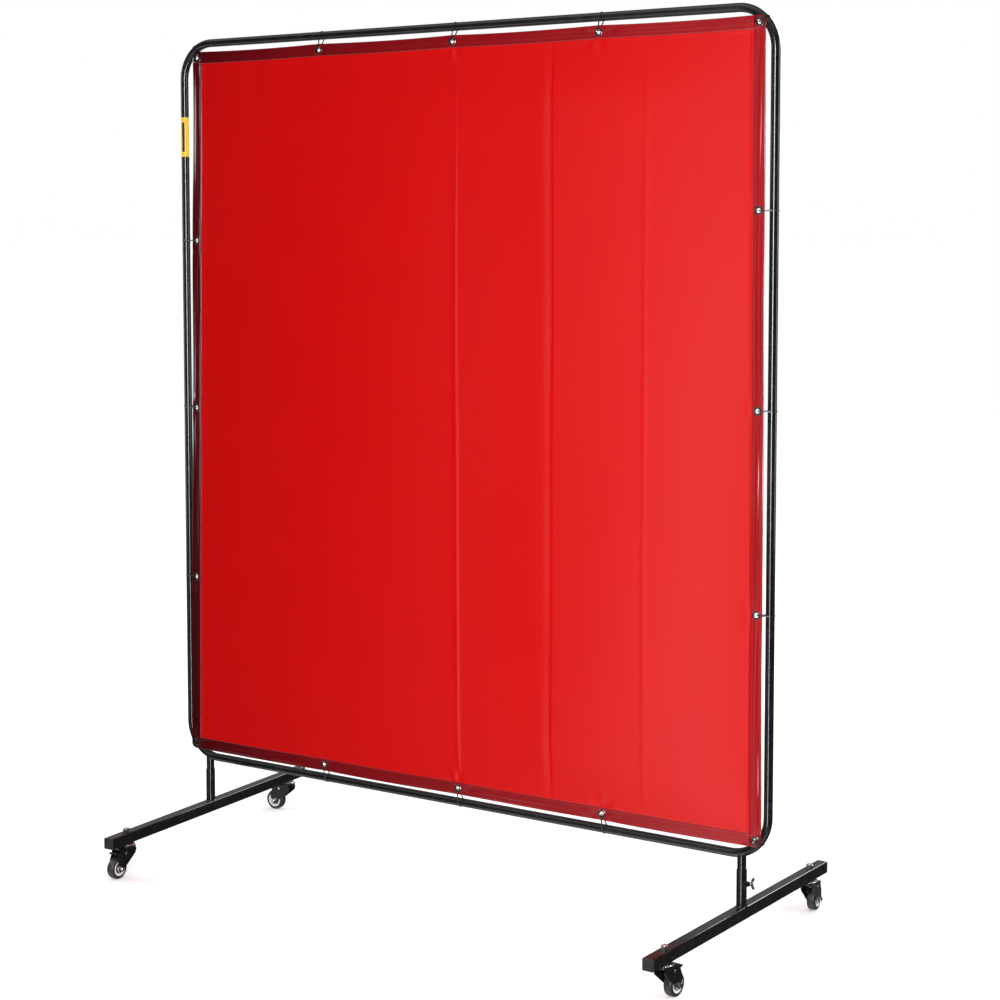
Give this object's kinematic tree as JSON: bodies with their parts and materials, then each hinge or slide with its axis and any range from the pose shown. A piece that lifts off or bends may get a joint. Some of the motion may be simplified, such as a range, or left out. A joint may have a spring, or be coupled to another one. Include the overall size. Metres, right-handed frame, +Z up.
{
  "type": "welding curtain screen",
  "caption": "Free-standing welding screen: a curtain with eyelets tied inside a round-tube frame that stands on two square-tube feet with swivelling casters.",
  "frame": {"origin": "on the floor, below the middle of the frame", "axes": "+X along the screen's width, -Y the side that the curtain is tied on, +Z up"},
  "size_m": [1.6301, 0.776, 1.9696],
  "materials": {
    "black_tube": "gloss",
    "black_foot": "gloss",
    "black_fork": "gloss",
    "black_plastic": "matte",
    "black_nylon": "satin",
    "zinc_steel": "satin",
    "bright_steel": "polished",
    "grommet_metal": "satin",
    "red_sheet": "gloss",
    "red_hem": "gloss",
    "yellow_label": "satin",
    "black_tyre": "satin",
    "white_plastic": "gloss"
  },
  "bodies": {
    "frame": {"elbow_top_left": "black_tube", "elbow_bottom_left": "black_tube", "post_left": "black_tube", "side_tube_left_lower": "black_tube", "side_tube_left_upper": "black_tube", "elbow_top_right": "black_tube", "elbow_bottom_right": "black_tube", "post_right": "black_tube", "side_tube_right_lower": "black_tube", "side_tube_right_upper": "black_tube", "top_tube_left": "black_tube", "top_tube_right": "black_tube", "bottom_tube_left": "black_tube", "bottom_tube_right": "black_tube", "curtain_sheet": "red_sheet", "hem_top": "red_hem", "hem_bottom": "red_hem", "hem_left": "red_hem", "hem_right": "red_hem", "grommets": "grommet_metal", "cable_ties": "black_nylon", "tube_label": "yellow_label"},
    "foot_left": {"foot_tube_left": "black_foot", "foot_caps_left": "black_plastic", "foot_sleeve_left": "black_foot", "clamp_nut_left": "black_foot", "caster_nuts_left": "zinc_steel", "caster_stems_left": "zinc_steel"},
    "wing_bolt_left": {"wing_bolt_left": "zinc_steel"},
    "caster_front_left": {"caster_fork_front_left": "black_fork", "swivel_balls_front_left": "bright_steel", "caster_pins_front_left": "bright_steel"},
    "wheel_front_left": {"wheel_core_front_left": "white_plastic", "wheel_tyre_front_left": "black_tyre"},
    "brake_front_left": {"brake_pedal_front_left": "black_fork"},
    "caster_rear_left": {"caster_fork_rear_left": "black_fork", "swivel_balls_rear_left": "bright_steel", "caster_pins_rear_left": "bright_steel"},
    "wheel_rear_left": {"wheel_core_rear_left": "white_plastic", "wheel_tyre_rear_left": "black_tyre"},
    "brake_rear_left": {"brake_pedal_rear_left": "black_fork"},
    "foot_right": {"foot_tube_right": "black_foot", "foot_caps_right": "black_plastic", "foot_sleeve_right": "black_foot", "clamp_nut_right": "black_foot", "caster_nuts_right": "zinc_steel", "caster_stems_right": "zinc_steel"},
    "wing_bolt_right": {"wing_bolt_right": "zinc_steel"},
    "caster_front_right": {"caster_fork_front_right": "black_fork", "swivel_balls_front_right": "bright_steel", "caster_pins_front_right": "bright_steel"},
    "wheel_front_right": {"wheel_core_front_right": "white_plastic", "wheel_tyre_front_right": "black_tyre"},
    "brake_front_right": {"brake_pedal_front_right": "black_fork"},
    "caster_rear_right": {"caster_fork_rear_right": "black_fork", "swivel_balls_rear_right": "bright_steel", "caster_pins_rear_right": "bright_steel"},
    "wheel_rear_right": {"wheel_core_rear_right": "white_plastic", "wheel_tyre_rear_right": "black_tyre"},
    "brake_rear_right": {"brake_pedal_rear_right": "black_fork"}
  },
  "joints": [
    {"name": "foot_left_swing", "type": "hinge", "parent": "frame", "child": "foot_left", "pos_m": [-0.738, 0, 0.103], "axis": [0, 0, 1], "range_deg": [-94.5, 85.5]},
    {"name": "wing_bolt_left_turn", "type": "hinge", "parent": "foot_left", "child": "wing_bolt_left", "pos_m": [-0.738, 0, 0.149], "axis": [-0.7604, 0.6494, 0], "range_deg": [0, 720]},
    {"name": "caster_front_left_swivel", "type": "hinge", "parent": "foot_left", "child": "caster_front_left", "pos_m": [-0.7127, -0.32151, 0.0715], "axis": [0, 0, 1], "continuous": true},
    {"name": "wheel_front_left_roll", "type": "hinge", "parent": "caster_front_left", "child": "wheel_front_left", "pos_m": [-0.7127, -0.35451, 0.025], "axis": [1, 0, 0], "continuous": true},
    {"name": "brake_front_left_press", "type": "hinge", "parent": "caster_front_left", "child": "brake_front_left", "pos_m": [-0.7127, -0.33751, 0.058], "axis": [1, 0, 0], "range_deg": [0, 16]},
    {"name": "caster_rear_left_swivel", "type": "hinge", "parent": "foot_left", "child": "caster_rear_left", "pos_m": [-0.7633, 0.32151, 0.0715], "axis": [0, 0, 1], "continuous": true},
    {"name": "wheel_rear_left_roll", "type": "hinge", "parent": "caster_rear_left", "child": "wheel_rear_left", "pos_m": [-0.79612, 0.31806, 0.025], "axis": [0.1045, -0.9945, 0], "continuous": true},
    {"name": "brake_rear_left_press", "type": "hinge", "parent": "caster_rear_left", "child": "brake_rear_left", "pos_m": [-0.77921, 0.31983, 0.058], "axis": [0.1045, -0.9945, 0], "range_deg": [0, 16]},
    {"name": "foot_right_swing", "type": "hinge", "parent": "frame", "child": "foot_right", "pos_m": [0.738, 0, 0.103], "axis": [0, 0, 1], "range_deg": [-90, 90]},
    {"name": "wing_bolt_right_turn", "type": "hinge", "parent": "foot_right", "child": "wing_bolt_right", "pos_m": [0.738, 0, 0.149], "axis": [0.7071, 0.7071, 0], "range_deg": [0, 720]},
    {"name": "caster_front_right_swivel", "type": "hinge", "parent": "foot_right", "child": "caster_front_right", "pos_m": [0.738, -0.3225, 0.0715], "axis": [0, 0, 1], "continuous": true},
    {"name": "wheel_front_right_roll", "type": "hinge", "parent": "caster_front_right", "child": "wheel_front_right", "pos_m": [0.74088, -0.28963, 0.025], "axis": [-0.9962, 0.0872, 0], "continuous": true},
    {"name": "brake_front_right_press", "type": "hinge", "parent": "caster_front_right", "child": "brake_front_right", "pos_m": [0.73939, -0.30656, 0.058], "axis": [-0.9962, 0.0872, 0], "range_deg": [0, 16]},
    {"name": "caster_rear_right_swivel", "type": "hinge", "parent": "foot_right", "child": "caster_rear_right", "pos_m": [0.738, 0.3225, 0.0715], "axis": [0, 0, 1], "continuous": true},
    {"name": "wheel_rear_right_roll", "type": "hinge", "parent": "caster_rear_right", "child": "wheel_rear_right", "pos_m": [0.73398, 0.35525, 0.025], "axis": [-0.9925, -0.1219, 0], "continuous": true},
    {"name": "brake_rear_right_press", "type": "hinge", "parent": "caster_rear_right", "child": "brake_rear_right", "pos_m": [0.73605, 0.33838, 0.058], "axis": [-0.9925, -0.1219, 0], "range_deg": [0, 16]}
  ]
}
